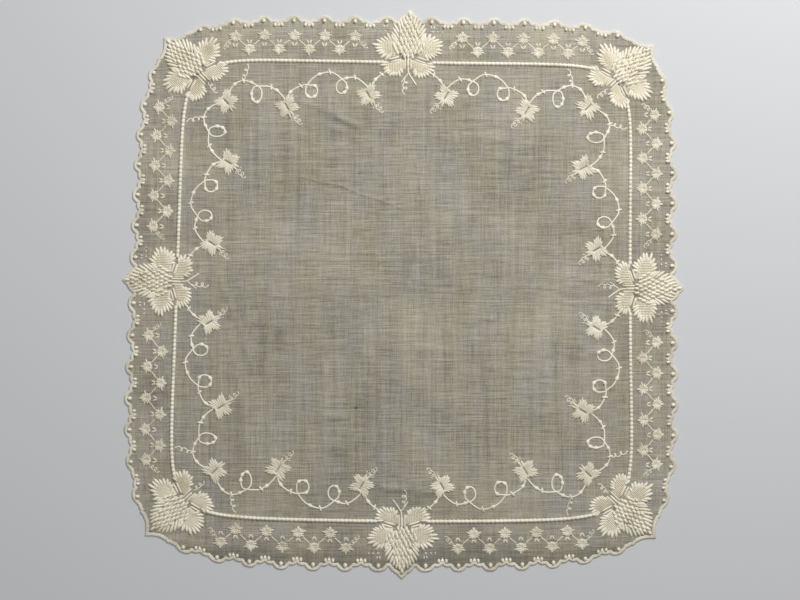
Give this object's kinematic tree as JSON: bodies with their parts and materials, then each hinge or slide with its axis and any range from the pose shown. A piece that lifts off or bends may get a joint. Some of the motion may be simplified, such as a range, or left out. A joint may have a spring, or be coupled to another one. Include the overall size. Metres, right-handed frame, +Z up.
{
  "type": "embroidered linen handkerchief",
  "caption": "Square sheer linen handkerchief lying flat, with a scalloped edge, raised whitework grape-and-leaf clusters at corners and sides, a padded dot line and an inner vine.",
  "frame": {"origin": "under the middle of the cloth, on the surface it lies on", "axes": "+Z up out of the face that carries the stitching, +Y toward the far side in the picture, +X to the right"},
  "size_m": [0.4207, 0.4257, 0.0027],
  "materials": {
    "linen": "matt",
    "embroidery": "satin stitch, soft sheen"
  },
  "bodies": {
    "root": {"embroidered_cloth": "linen"}
  },
  "joints": []
}
